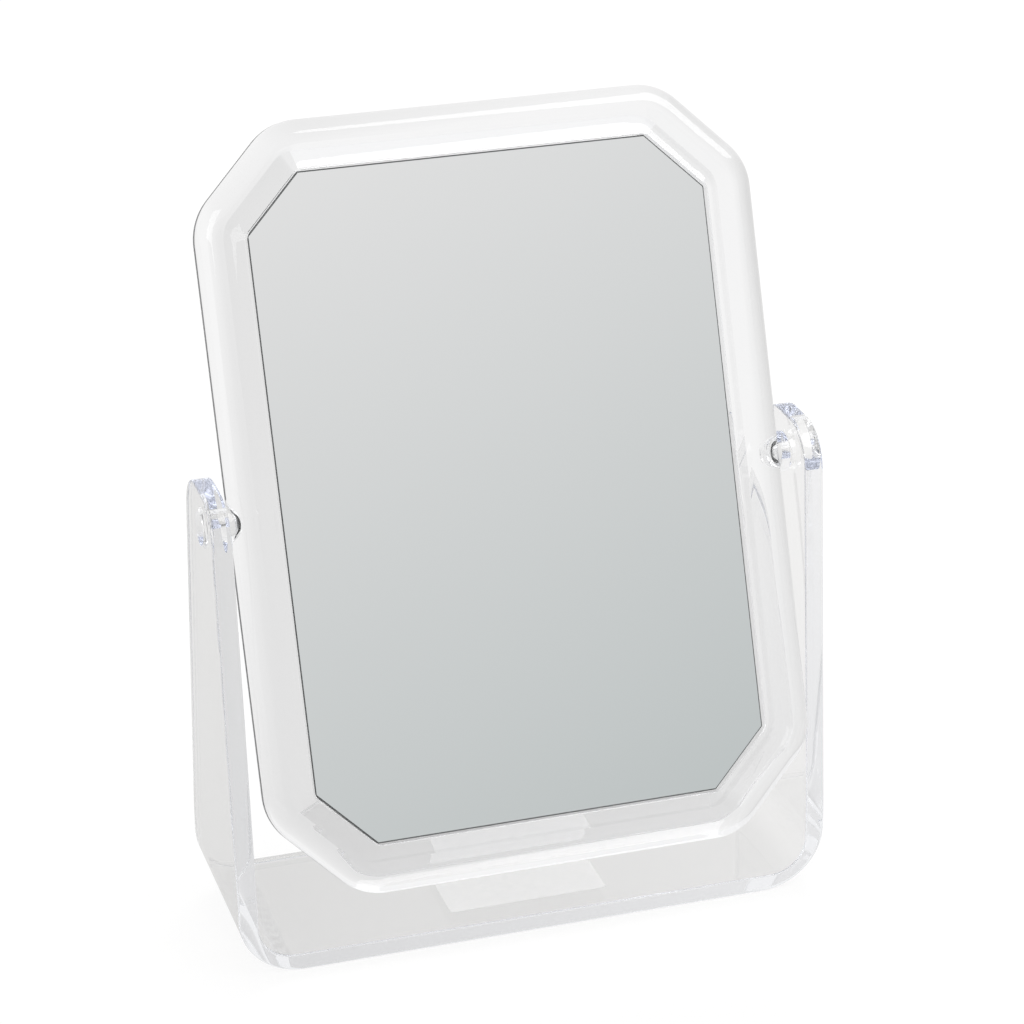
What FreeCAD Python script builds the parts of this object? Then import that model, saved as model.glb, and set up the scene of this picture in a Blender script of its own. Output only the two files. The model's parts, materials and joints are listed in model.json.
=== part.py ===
import FreeCAD, Part
import math
import os
import Sketcher

# A two-faced makeup mirror: an eight-sided clear frame that swivels between the arms of a clear U stand.
# Millimetres, +Z up, the origin on the table under the middle of the base, the mirror's front towards -Y.
# Pieces of the mirror are drawn flat, with x across, y up the mirror and z out of its front, and then tilted.

SIZES = (
    ("stand_width", 170.0, "over the outer faces of the two arms"),
    ("stand_depth", 54.0, "base plate, front to back"),
    ("arm_wall", 5.3, "thickness of an arm"),
    ("base_wall", 5.0, "thickness of the base plate"),
    ("bend_outer_radius", 18.0, "outside of the bend between base and arm"),
    ("bend_inner_radius", 10.0, "inside of that bend"),
    ("taper_start", 24.0, "height where the arms begin to taper"),
    ("taper_radius", 60.0, "rounding between the upright and the tapered stretch"),
    ("pivot_height", 123.7, "swivel axis above the table"),
    ("head_half_width", 16.2, "half of an arm's width at the axis"),
    ("head_rise", 11.2, "arm above the axis"),
    ("head_radius", 12.0, "rounding of an arm's two top corners"),
    ("stand_edge_radius", 0.5, "rounding of the rim of the stand"),
    ("side_gap", 2.4, "between an arm and the frame"),
    ("ball_radius", 5.7, "ball studs"),
    ("ball_clearance", 0.08, "radial, between a ball and its socket"),
    ("spigot_radius", 2.95, "root of a stud, in the arm's bore"),
    ("spigot_clearance", 0.05, "radial, between a root and its bore"),
    ("spigot_setback", 0.1, "a root's end behind the counterbore's floor"),
    ("counterbore_radius", 4.65, "on an arm's outer face"),
    ("counterbore_depth", 2.2, "on an arm's outer face"),
    ("core_radius", 1.45, "hollow core of a stud, open to the counterbore"),
    ("core_reach", 1.0, "a core past the arm's inner face"),
    ("tilt_degrees", 21.7, "the mirror's lean to the back"),
    ("axis_setback", 1.0, "swivel axis behind the joint plane of the two bezels"),
    ("frame_height", 206.8, "along the mirror"),
    ("frame_chamfer", 23.4, "cut corner of the outline, along each side"),
    ("frame_corner_radius", 16.5, "rounding of the outline's eight corners"),
    ("frame_band", 13.35, "from the outline to the plate's recess"),
    ("crest_height", 6.5, "a bezel's crest above the joint plane"),
    ("bead_radius", 5.5, "round edge of a bezel"),
    ("crest_inset", 6.6, "from the outline to the start of the slope"),
    ("slope_drop", 1.8, "fall of the slope from the crest"),
    ("slope_degrees", 74.0, "between the slope and the mirror's normal"),
    ("ledge_width", 3.0, "ledges that carry the plates"),
    ("ledge_thickness", 0.6, "ledge that carries the rear plate"),
    ("plate_clearance", 0.3, "between a plate's edge and its recess"),
    ("plate_thickness", 2.0, "flat front plate"),
    ("tape_thickness", 0.4, "adhesive ring under the front plate"),
    ("magnifier_radius", 1500.0, "hollow face of the rear plate"),
    ("magnifier_thickness", 2.0, "rear plate"),
    ("apex_gap", 0.5, "between the backs of the two plates, at their middle"),
    ("foam_least", 0.137, "rear plate to its ledge, where the two come nearest"),
    ("foam_height", 3.0, "foam ring behind the rear plate, before it is pressed on"),
    ("foam_clearance", 0.05, "between the foam and the rear plate"),
    ("label_width", 46.0, "film on the base plate"),
    ("label_depth", 27.0, "film on the base plate"),
    ("label_setback", 8.0, "film behind the base plate's front edge"),
    ("label_thickness", 0.15, "film on the base plate"),
    ("cut_overrun", 5.0, "a cut past the face that it leaves by"),
)
VALUES = {alias: value for alias, value, meaning in SIZES}

# A chamfer's leg shrinks by this share of the distance when a chamfered outline is offset inwards.
CHAMFER_OFFSET_SHARE = 2 - math.sqrt(2)

doc = FreeCAD.newDocument("makeup_mirror")


class Size:
    """A length of the sheet or a sum of such lengths: its number, and the expression that binds it."""

    def __init__(self, value, text):
        self.value = value
        self.text = text

    def combine(self, other, sign, result):
        text = other.text if isinstance(other, Size) else repr(other)
        return Size(result, "(%s %s %s)" % (self.text, sign, text))

    def __add__(self, other):
        return self.combine(other, "+", self.value + number(other))

    def __sub__(self, other):
        return self.combine(other, "-", self.value - number(other))

    def __mul__(self, other):
        return self.combine(other, "*", self.value * number(other))

    def __truediv__(self, other):
        return self.combine(other, "/", self.value / number(other))

    def __neg__(self):
        return self * -1


def number(item):
    return item.value if isinstance(item, Size) else item


def root(area):
    return Size(math.sqrt(area.value), "sqrt(%s)" % area.text)


def half_tangent(slope):
    """The tangent of half the angle that has this slope."""
    return Size(math.tan(math.atan(slope.value) / 2), "tan(atan(%s) / 2)" % slope.text)


def size(alias):
    return Size(VALUES[alias], "dims." + alias)


def fill_sheet():
    """The driving dimensions, one row each: alias, number, meaning."""
    sheet = doc.addObject("Spreadsheet::Sheet", "dims")
    for row, (alias, value, meaning) in enumerate(SIZES, start=1):
        sheet.set("A%d" % row, alias)
        sheet.set("B%d" % row, str(value))
        sheet.set("C%d" % row, meaning)
        sheet.setAlias("B%d" % row, alias)
    doc.recompute()


def bind(item, **sizes):
    for name, length in sizes.items():
        item.setExpression(name, length.text)


def new_body(name):
    body = doc.addObject("PartDesign::Body", name)
    body.Label = name
    return body


def origin_feature(body, role):
    return next(item for item in body.Origin.OriginFeatures if item.Role == role)


def new_sketch(body, name, role="XY_Plane", height=None):
    """A sketch on an origin plane of its body, or at a height above that plane."""
    sketch = body.newObject("Sketcher::SketchObject", name)
    sketch.AttachmentSupport = [(origin_feature(body, role), "")]
    sketch.MapMode = "FlatFace"
    if height is not None:
        sketch.AttachmentOffset = FreeCAD.Placement(FreeCAD.Vector(0, 0, height.value), FreeCAD.Rotation())
        sketch.setExpression("AttachmentOffset.Base.z", height.text)
    return sketch


def vector(point):
    return FreeCAD.Vector(number(point[0]), number(point[1]), 0)


def hold_point(sketch, edge, point, end=1):
    """Ties the start of an edge, or with 3 an arc's centre, to its distances from the sketch's origin."""
    for kind, axis, length in (("DistanceX", -2, point[0]), ("DistanceY", -1, point[1])):
        if isinstance(length, Size):
            index = sketch.addConstraint(Sketcher.Constraint(kind, -1, 1, edge, end, length.value))
            sketch.setExpression("Constraints[%d]" % index, length.text)
        else:
            sketch.addConstraint(Sketcher.Constraint("PointOnObject", edge, end, axis))


def outline(sketch, points):
    """A closed outline of straight edges through the points."""
    first = sketch.GeometryCount
    count = len(points)
    for index, point in enumerate(points):
        after = points[(index + 1) % count]
        sketch.addGeometry(Part.LineSegment(vector(point), vector(after)), False)
    for index in range(count):
        following = first + (index + 1) % count
        sketch.addConstraint(Sketcher.Constraint("Coincident", first + index, 2, following, 1))
    for index, point in enumerate(points):
        hold_point(sketch, first + index, point)
    return sketch


def circle(sketch, height, radius):
    """A circle about a point of the sketch's vertical axis."""
    shape = Part.Circle(FreeCAD.Vector(0, height.value, 0), FreeCAD.Vector(0, 0, 1), radius.value)
    edge = sketch.addGeometry(shape, False)
    sketch.addConstraint(Sketcher.Constraint("PointOnObject", edge, 3, -2))
    for kind, where, length in (("DistanceY", (-1, 1, edge, 3), height), ("Radius", (edge,), radius)):
        index = sketch.addConstraint(Sketcher.Constraint(kind, *where, length.value))
        sketch.setExpression("Constraints[%d]" % index, length.text)
    return sketch


def octagon(width, height, chamfer):
    """Corners of a rectangle with four cut corners, about the origin, from the right round to the left."""
    right, top = width / 2, height / 2
    inner_right, inner_top = right - chamfer, top - chamfer
    return (
        (right, inner_top), (inner_right, top), (-inner_right, top), (-right, inner_top),
        (-right, -inner_top), (-inner_right, -top), (inner_right, -top), (right, -inner_top),
    )


def rectangle(left, right, low, high):
    return ((left, low), (right, low), (right, high), (left, high))


def pad(body, sketch, length, reverse=False, symmetric=False):
    feature = body.newObject("PartDesign::Pad", sketch.Name + "_pad")
    feature.Profile = sketch
    feature.Reversed = reverse
    feature.SideType = "Symmetric" if symmetric else "One side"
    bind(feature, Length=length)
    doc.recompute()
    return feature


def pocket(body, sketch, length, reverse=False, symmetric=False, slope=None):
    """A cut that must take something off its body; slope is the wall's angle to the direction of the cut."""
    before = body.Shape.Volume
    feature = body.newObject("PartDesign::Pocket", sketch.Name + "_pocket")
    feature.Profile = sketch
    feature.Reversed = reverse
    feature.SideType = "Symmetric" if symmetric else "One side"
    bind(feature, Length=length)
    if slope is not None:
        bind(feature, TaperAngle=-slope)
    doc.recompute()
    if not body.Shape.Volume < before:
        raise RuntimeError(feature.Name + " cuts nothing")
    return feature


def fillet(body, radius, chosen):
    """Rounds the edges of the body's last feature that the test chooses."""
    base = body.Tip
    names = ["Edge%d" % index for index, edge in enumerate(base.Shape.Edges, start=1) if chosen(edge)]
    feature = body.newObject("PartDesign::Fillet", body.Name + "_fillet")
    feature.Base = (base, names)
    bind(feature, Radius=radius)
    doc.recompute()
    return feature


def spans(edge, axis):
    """True for a straight edge along the axis."""
    if edge.Curve.TypeId != "Part::GeomLine":
        return False
    return abs(abs(edge.Curve.Direction.dot(axis)) - 1) < Part.Precision.angular()


def lies_at(edge, coordinate, place):
    """True if both ends of the edge have that coordinate, 0 for x, 1 for y or 2 for z."""
    return all(abs(vertex.Point[coordinate] - place) < Part.Precision.approximation() * place_scale
               for vertex in edge.Vertexes)


place_scale = VALUES["stand_width"]


def revolve(body, sketch):
    """A turned solid about the body's x axis."""
    feature = body.newObject("PartDesign::Revolution", sketch.Name + "_revolution")
    feature.Profile = sketch
    feature.ReferenceAxis = (origin_feature(body, "X_Axis"), [""])
    feature.Angle = 360
    doc.recompute()
    return feature


def cut(name, base, tool):
    feature = doc.addObject("Part::Cut", name)
    feature.Label = name
    feature.Base = base
    feature.Tool = tool
    doc.recompute()
    return feature


def sphere(name, radius, x=None, z=None):
    """A ball whose centre may lie off the origin along x or z."""
    ball = doc.addObject("Part::Sphere", name)
    bind(ball, Radius=radius)
    for axis, place in (("x", x), ("z", z)):
        if place is not None:
            ball.setExpression("Placement.Base." + axis, place.text)
    return ball


def tilt(piece):
    """Leans a piece that was drawn flat to the back and lifts it, with its joint plane before the axis."""
    lean = Size(90, "90") - size("tilt_degrees")
    turn = FreeCAD.Rotation(FreeCAD.Vector(1, 0, 0), lean.value)
    piece.Placement = FreeCAD.Placement(FreeCAD.Vector(), turn)
    piece.setExpression("Placement.Rotation.Angle", lean.text)
    piece.setExpression("Placement.Base.y", "-dims.axis_setback * cos(dims.tilt_degrees * 1 deg)")
    level = "dims.pivot_height + dims.axis_setback * sin(dims.tilt_degrees * 1 deg)"
    piece.setExpression("Placement.Base.z", level)
    return piece


# Places that several pieces share.
fill_sheet()
half_stand = size("stand_width") / 2
arm_face = half_stand - size("arm_wall")
frame_width = (arm_face - size("side_gap")) * 2
ball_centre = arm_face - size("side_gap") / 2
ball_to_arm = size("side_gap") / 2


def inset_octagon(inset):
    """The frame's outline, moved inwards by the inset on all eight sides."""
    return octagon(
        frame_width - inset * 2,
        size("frame_height") - inset * 2,
        size("frame_chamfer") - inset * CHAMFER_OFFSET_SHARE,
    )


plate_inset = size("frame_band") + size("plate_clearance")
opening_inset = size("frame_band") + size("ledge_width")

# The curved rear plate comes nearest to its flat ledge at the middle of the ledge's long inner edges.
# The front plate lies over the rear plate's crown, and the front ledge carries it there.
half_opening = frame_width / 2 - opening_inset
magnifier_back_radius = size("magnifier_radius") + size("magnifier_thickness")
magnifier_drop = root(magnifier_back_radius * magnifier_back_radius - half_opening * half_opening)
magnifier_centre = -(size("ledge_thickness") + size("foam_least") + magnifier_drop)
plate_back = magnifier_centre + magnifier_back_radius + size("apex_gap")
front_ledge = plate_back - size("tape_thickness")


def taper_cut(sketch, half_depth, top, sign):
    """The room beside one edge of the arms: an arc eases the upright edge into the straight taper."""
    kink = size("taper_start")
    radius = size("taper_radius")
    fall = (half_depth - size("head_half_width")) / (size("pivot_height") - kink)
    top_half = half_depth - fall * (top - kink)
    low = kink - radius * half_tangent(fall)
    beyond = half_depth + size("cut_overrun")
    above = top + size("cut_overrun")
    corners = (
        (half_depth * sign, low), (beyond * sign, low), (beyond * sign, above),
        (top_half * sign, above), (top_half * sign, top),
    )
    centre = ((half_depth - radius) * sign, low)
    turn = math.atan(fall.value)
    ease = Part.Circle(vector(centre), FreeCAD.Vector(0, 0, 1), radius.value)
    arc_ends = (0, turn) if sign > 0 else (math.pi - turn, math.pi)
    touch = vector(centre) + FreeCAD.Vector(math.cos(turn) * sign, math.sin(turn), 0) * radius.value
    lines = [sketch.addGeometry(Part.LineSegment(vector(start), vector(end)), False)
             for start, end in zip(corners, corners[1:])]
    taper = sketch.addGeometry(Part.LineSegment(vector(corners[-1]), touch), False)
    arc = sketch.addGeometry(Part.ArcOfCircle(ease, *arc_ends), False)
    upright_end, taper_end = (1, 2) if sign > 0 else (2, 1)
    lines.append(taper)
    for before, after in zip(lines, lines[1:]):
        sketch.addConstraint(Sketcher.Constraint("Coincident", before, 2, after, 1))
    sketch.addConstraint(Sketcher.Constraint("Coincident", arc, upright_end, lines[0], 1))
    sketch.addConstraint(Sketcher.Constraint("Tangent", taper, 2, arc, taper_end))
    for line, corner in zip(lines, corners):
        hold_point(sketch, line, corner)
    hold_point(sketch, arc, centre, 3)


def make_stand():
    """The U: a base plate bent up into two arms, which taper to rounded heads with a stepped bore."""
    body = new_body("stand")
    top = size("pivot_height") + size("head_rise")
    profile = new_sketch(body, "stand_front", "XZ_Plane")
    outline(profile, (
        (-half_stand, 0), (half_stand, 0), (half_stand, top), (arm_face, top),
        (arm_face, size("base_wall")), (-arm_face, size("base_wall")), (-arm_face, top), (-half_stand, top),
    ))
    pad(body, profile, size("stand_depth"), symmetric=True)
    along_depth = FreeCAD.Vector(0, 1, 0)
    fillet(body, size("bend_outer_radius"), lambda edge: spans(edge, along_depth) and lies_at(edge, 2, 0))

    def in_bend(edge):
        """True for the two inner corners between the base plate and the arms."""
        beside_arm = abs(abs(edge.Vertexes[0].Point.x) - arm_face.value) < VALUES["arm_wall"]
        return spans(edge, along_depth) and lies_at(edge, 2, VALUES["base_wall"]) and beside_arm

    fillet(body, size("bend_inner_radius"), in_bend)

    side = new_sketch(body, "stand_side", "YZ_Plane")
    for sign in (1, -1):
        taper_cut(side, size("stand_depth") / 2, top, sign)
    pocket(body, side, size("stand_width") + size("cut_overrun"), symmetric=True)
    across = FreeCAD.Vector(1, 0, 0)
    fillet(body, size("head_radius"), lambda edge: spans(edge, across) and lies_at(edge, 2, top.value))

    def on_rim(edge):
        """True for the edges round the front and back of the U, not for seams or steps across its wall."""
        if spans(edge, across):
            return edge.Length > size("arm_wall").value * 2
        return not spans(edge, along_depth)

    fillet(body, size("stand_edge_radius"), on_rim)

    bore = new_sketch(body, "stand_bore", "YZ_Plane")
    circle(bore, size("pivot_height"), size("spigot_radius") + size("spigot_clearance"))
    pocket(body, bore, size("stand_width") + size("cut_overrun"), symmetric=True)
    for name, place, reverse in (
        ("right_counterbore", half_stand - size("counterbore_depth"), True),
        ("left_counterbore", size("counterbore_depth") - half_stand, False),
    ):
        sketch = new_sketch(body, name, "YZ_Plane", place)
        circle(sketch, size("pivot_height"), size("counterbore_radius"))
        pocket(body, sketch, size("counterbore_depth") + size("cut_overrun"), reverse=reverse)
    return body


def place_at_axis(piece, x, turned):
    """Puts a turned piece on the swivel axis; the right-hand one faces the other way."""
    angle = 180 if turned else 0
    turn = FreeCAD.Rotation(FreeCAD.Vector(0, 0, 1), angle)
    piece.Placement = FreeCAD.Placement(FreeCAD.Vector(x.value, 0, VALUES["pivot_height"]), turn)
    piece.setExpression("Placement.Base.x", x.text)
    piece.setExpression("Placement.Base.z", "dims.pivot_height")
    return piece


def make_ball_stud(side, turned):
    """A ball cut flat where it seats on the arm, with a hollow root pressed into the arm's bore."""
    body = new_body(side + "_ball_stud")
    radius = size("ball_radius")
    root_end = -(ball_to_arm + size("arm_wall") - size("counterbore_depth") - size("spigot_setback"))
    core_radius = size("core_radius")
    core_end = size("core_reach") - ball_to_arm
    seat_radius = math.sqrt(radius.value ** 2 - ball_to_arm.value ** 2)
    sketch = new_sketch(body, side + "_stud_profile", "XZ_Plane")
    corners = (
        (root_end, core_radius), (root_end, size("spigot_radius")),
        (-ball_to_arm, size("spigot_radius")), (-ball_to_arm, Size(seat_radius, "")),
    )
    for start, end in zip(corners, corners[1:]):
        sketch.addGeometry(Part.LineSegment(vector(start), vector(end)), False)
    ball = Part.Circle(FreeCAD.Vector(0, 0, 0), FreeCAD.Vector(0, 0, 1), radius.value)
    seat_angle = math.atan2(seat_radius, -ball_to_arm.value)
    arc = sketch.addGeometry(Part.ArcOfCircle(ball, 0, seat_angle), False)
    inner = ((radius, 0), (core_end, 0), (core_end, core_radius), corners[0])
    for start, end in zip(inner, inner[1:]):
        sketch.addGeometry(Part.LineSegment(vector(start), vector(end)), False)
    joins = (
        (0, 2, 1, 1), (1, 2, 2, 1), (2, 2, arc, 2), (arc, 1, 4, 1),
        (4, 2, 5, 1), (5, 2, 6, 1), (6, 2, 0, 1),
    )
    for join in joins:
        sketch.addConstraint(Sketcher.Constraint("Coincident", *join))
    sketch.addConstraint(Sketcher.Constraint("Coincident", arc, 3, -1, 1))
    index = sketch.addConstraint(Sketcher.Constraint("Radius", arc, radius.value))
    sketch.setExpression("Constraints[%d]" % index, radius.text)
    sketch.addConstraint(Sketcher.Constraint("Vertical", 2))
    sketch.addConstraint(Sketcher.Constraint("PointOnObject", 4, 1, -1))
    for edge, point in ((0, corners[0]), (1, corners[1]), (2, corners[2]), (5, inner[1]), (6, inner[2])):
        hold_point(sketch, edge, point)
    revolve(body, sketch)
    return place_at_axis(body, ball_centre if turned else -ball_centre, turned)


def make_label():
    """A bare film on the base plate."""
    body = new_body("base_label")
    front = size("label_setback") - size("stand_depth") / 2
    half = size("label_width") / 2
    sketch = new_sketch(body, "label_outline", "XY_Plane", size("base_wall"))
    outline(sketch, rectangle(-half, half, front, front + size("label_depth")))
    pad(body, sketch, size("label_thickness"))
    return body


def make_bezel(name, front):
    """A clear half of the frame: a bead round a sloping band, a ledge for a plate and a socket at each ball."""
    body = new_body(name + "_solid")
    crest = size("crest_height")
    level = crest if front else -crest
    sketch = new_sketch(body, name + "_outline")
    outline(sketch, octagon(frame_width, size("frame_height"), size("frame_chamfer")))
    pad(body, sketch, crest, reverse=not front)
    upright = FreeCAD.Vector(0, 0, 1)
    fillet(body, size("frame_corner_radius"), lambda edge: spans(edge, upright))
    fillet(body, size("bead_radius"), lambda edge: lies_at(edge, 2, level.value))
    slope = new_sketch(body, name + "_slope", height=level)
    outline(slope, inset_octagon(size("crest_inset")))
    pocket(body, slope, size("slope_drop"), reverse=not front, slope=size("slope_degrees"))
    ledge = front_ledge if front else -size("ledge_thickness")
    recess = new_sketch(body, name + "_recess", height=ledge)
    outline(recess, inset_octagon(size("frame_band")))
    pocket(body, recess, crest, reverse=front)
    opening = new_sketch(body, name + "_opening")
    outline(opening, inset_octagon(opening_inset))
    pocket(body, opening, crest, reverse=front)

    socket_radius = size("ball_radius") + size("ball_clearance")
    axis_level = -size("axis_setback")
    left = sphere(name + "_left_socket", socket_radius, -ball_centre, axis_level)
    right = sphere(name + "_right_socket", socket_radius, ball_centre, axis_level)
    return tilt(cut(name, cut(name + "_half", body, left), right))


def make_front_plate():
    body = new_body("front_mirror_plate")
    sketch = new_sketch(body, "front_plate_outline", height=plate_back)
    outline(sketch, inset_octagon(plate_inset))
    pad(body, sketch, size("plate_thickness"))
    return tilt(body)


def ring(name, height, length, reverse):
    """A flat ring between a ledge's inner edge and the outline of a plate."""
    body = new_body(name)
    sketch = new_sketch(body, name + "_outline", height=height)
    outline(sketch, inset_octagon(plate_inset))
    outline(sketch, inset_octagon(opening_inset))
    pad(body, sketch, length, reverse=reverse)
    return body


def make_rear_pieces():
    """The hollow-ground rear plate, and the foam that fills the space between its back and the ledge."""
    body = new_body("rear_plate_blank")
    sketch = new_sketch(body, "rear_plate_outline", height=plate_back)
    outline(sketch, inset_octagon(plate_inset))
    pad(body, sketch, plate_back + size("crest_height"), reverse=True)
    back = sphere("rear_plate_back", magnifier_back_radius, z=magnifier_centre)
    face = sphere("rear_plate_face", size("magnifier_radius"), z=magnifier_centre)
    curved = cut("rear_plate_curve", back, face)
    plate = doc.addObject("Part::Common", "rear_magnifying_plate")
    plate.Base = body
    plate.Tool = curved
    block = ring("rear_foam_block", -size("ledge_thickness"), size("foam_height"), True)
    room = sphere("rear_foam_room", magnifier_back_radius + size("foam_clearance"), z=magnifier_centre)
    return tilt(plate), tilt(cut("rear_plate_foam", block, room))


def check_document():
    for item in doc.Objects:
        if "Invalid" in item.State or "Error" in item.State:
            raise RuntimeError(item.Name + " failed: " + str(item.State))


def write_parts(pieces):
    os.makedirs("parts", exist_ok=True)
    for piece in pieces:
        shape = piece.Shape
        if shape.isNull() or not shape.isValid() or len(shape.Solids) != 1:
            raise RuntimeError(piece.Label + " is not one valid solid")
    for piece in pieces:
        piece.Shape.exportStep("parts/%s.step" % piece.Label)
        print("%-24s %10.1f mm3" % (piece.Label, piece.Shape.Volume))


nodes = [make_stand()]
for side, turned in (("left", False), ("right", True)):
    nodes.append(make_ball_stud(side, turned))
nodes.append(make_label())
nodes.append(make_bezel("front_bezel", True))
nodes.append(make_bezel("rear_bezel", False))
nodes.append(make_front_plate())
nodes.append(tilt(ring("front_plate_tape", front_ledge, size("tape_thickness"), False)))
nodes.extend(make_rear_pieces())
doc.recompute()
check_document()
write_parts(nodes)
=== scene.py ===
import json
import math

import bmesh
import bpy
import numpy as np
from mathutils import Matrix, Vector


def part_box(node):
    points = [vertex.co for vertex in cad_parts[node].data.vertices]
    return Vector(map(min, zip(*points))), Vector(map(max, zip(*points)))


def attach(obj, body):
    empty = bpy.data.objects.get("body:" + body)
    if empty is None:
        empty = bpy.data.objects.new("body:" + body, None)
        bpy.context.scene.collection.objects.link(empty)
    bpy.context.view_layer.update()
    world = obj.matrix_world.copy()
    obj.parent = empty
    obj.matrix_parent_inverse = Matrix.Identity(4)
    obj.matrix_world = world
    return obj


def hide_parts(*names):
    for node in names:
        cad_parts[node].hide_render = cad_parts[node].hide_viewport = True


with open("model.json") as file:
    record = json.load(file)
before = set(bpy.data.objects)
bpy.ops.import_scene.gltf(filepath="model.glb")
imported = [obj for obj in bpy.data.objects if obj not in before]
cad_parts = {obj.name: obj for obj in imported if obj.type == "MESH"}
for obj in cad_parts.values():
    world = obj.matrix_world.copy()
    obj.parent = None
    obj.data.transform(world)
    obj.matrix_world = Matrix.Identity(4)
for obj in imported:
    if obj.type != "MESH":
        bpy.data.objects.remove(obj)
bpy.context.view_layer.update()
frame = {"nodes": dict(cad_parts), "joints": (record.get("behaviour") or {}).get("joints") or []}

bl_info = {
    "name": "Clear makeup mirror",
    "version": (1, 0, 0),
    "blender": (4, 5, 0),
    "location": "View3D > Sidebar > Makeup mirror",
    "description": "Surfaces and finishes of a clear two-faced makeup mirror on a swivel stand",
    "category": "Add Mesh",
}

STAND_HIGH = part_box("stand")[1]
AXIS_HEIGHT = frame["joints"][0]["pos_m"][2]
IMAGE_SIDE = 1024
SENSOR_WIDTH = 36
SHARP_EDGE = math.radians(12)
MERGE_DISTANCE = 2e-6
WHITE = (1, 1, 1)
PLASTIC_IOR = 1.49
# Light runs a long way inside clear plastic before it leaves.
LIGHT_BOUNCES = 40
# Face attributes that the finishes read.
COATED = "coated"
# The weld band is painted dark: partly a real seam, partly painted shade for the dark line that refraction
# gives along the frame's edge.
WELD_SHADE = "welded"
# Columns of the frame's section on either side of the weld, painted dark: a real seam, and painted shade for
# the dark line that refraction gives along the frame's edge.
WELD_SHADE_COLUMNS = [-2, -1, 0, 1]
# Least cosine between a plate's mirror face and the mirror's normal.
FACE_LEVEL = 0.99
# Sides of the outline, and those of them that hold a ball's socket.
SIDES = 8
PIVOT_SIDES = (3, 7)
# A cut corner gets shorter by this share of an inset.
CHAMFER_OFFSET_SHARE = 2 - math.sqrt(2)

# Samples along each stretch of the surfaces.
BASE_SAMPLES = 12
BEND_SAMPLES = 33
EASE_SAMPLES = 7
TAPER_SAMPLES = 14
DEPTH_SAMPLES = 25
HEAD_SAMPLES = 25
TOP_SAMPLES = 5
RING_SAMPLES = 6
BALL_SAMPLES = 41
RIM_SAMPLES = 9
CORNER_SAMPLES = 17
SIDE_SAMPLES = 11
PIVOT_SAMPLES = 73
BESIDE_PIVOT_SAMPLES = 9
BEAD_SAMPLES = 33
LIP_SAMPLES = 9
PLATE_SIDE_SAMPLES = 16
PLATE_RING_SAMPLES = 25
FILM_EDGE_SAMPLES = 40
FILM_RING_SAMPLES = 9
CARD_SAMPLES = 9

# Patterns in the finishes, in cells per metre.
FLOW_SCALE = 14.0
HAZE_SCALE = 220.0
TONE_SCALE = 9.0
POLISH_SCALE = 60.0
CELL_SCALE = 1800.0
MOTTLE_SCALE = 420.0
FLOOR_GRAIN_SCALE = 60.0

# The stage, in metres and watts.
FLOOR_REACH = 6.0
FLOOR_GLOW = 0.9
# Painted shade on the floor that clear plastic and mirrors show: it grades from dark to light over this
# stretch of x.
FLOOR_SHADE_STRETCH = (-0.12, 0.18)
CARD_CORNER = (-0.4, -1.4, 0.05)
CARD_ACROSS = (1.6, 0, 0)
CARD_UP = (0, 0, 1.2)
CARD_SLANT = 0.42
CARD_STRETCH = (-0.72, -0.12)
LAMP_AIM = (0, 0, 0.1)
# Name, place, side, power, and whether glossy and clear surfaces show it.
LAMPS = (
    ("key_lamp", (0.9, -0.6, 1.5), 1.2, 14.0, True),
    ("fill_lamp", (-1.1, -0.9, 1.2), 1.0, 6.0, True),
    ("back_lamp", (0.2, 1.2, 1.3), 1.0, 18.0, False),
)


def length(name, description, default):
    return bpy.props.FloatProperty(
        name=name, description=description, default=default, precision=5, subtype="DISTANCE", unit="LENGTH")


def angle(name, description, degrees):
    return bpy.props.FloatProperty(
        name=name, description=description, default=math.radians(degrees), subtype="ANGLE", unit="ROTATION")


def tint(name, description, default):
    return bpy.props.FloatVectorProperty(
        name=name, description=description, default=default, size=3, min=0, max=1, subtype="COLOR")


def amount(name, description, default):
    return bpy.props.FloatProperty(name=name, description=description, default=default)


def factor(name, description, default):
    return bpy.props.FloatProperty(
        name=name, description=description, default=default, min=0, max=1, subtype="FACTOR")


def pixels(name, description, default):
    return bpy.props.FloatProperty(name=name, description=description, default=default, subtype="PIXEL")


class StandSizes(bpy.types.PropertyGroup):
    """The clear U stand and the two ball studs bonded into it."""

    half_width: length("Half width", "middle to an arm's outer face", STAND_HIGH.x)
    half_depth: length("Half depth", "half of the base plate, front to back", STAND_HIGH.y)
    top: length("Top", "height of the arms", STAND_HIGH.z)
    arm_wall: length("Arm wall", "thickness of an arm", 0.0053)
    base_wall: length("Base wall", "thickness of the base plate", 0.005)
    outer_bend: length("Outer bend", "outside radius of the bend", 0.018)
    inner_bend: length("Inner bend", "inside radius of the bend", 0.010)
    taper_start: length("Taper start", "height of the taper's kink", 0.024)
    taper_radius: length("Taper radius", "rounding of that kink", 0.060)
    head_half_width: length("Head half width", "half of an arm's width at the axis", 0.0162)
    head_radius: length("Head radius", "rounding of an arm's top corners", 0.012)
    head_foot: length("Head foot", "height where the stretch round a bore begins", 0.095)
    rim_radius: length("Rim radius", "rounding of the rim", 0.0005)
    counterbore_radius: length("Counterbore radius", "on an arm's outer face", 0.00465)
    counterbore_depth: length("Counterbore depth", "on an arm's outer face", 0.0022)
    ball_radius: length("Ball radius", "ball studs", 0.0057)
    ball_to_arm: length("Ball to arm", "ball's centre to the arm's inner face", 0.0012)
    core_radius: length("Core radius", "hollow core of a stud", 0.00145)
    core_reach: length("Core reach", "core past the arm's inner face", 0.001)


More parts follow.
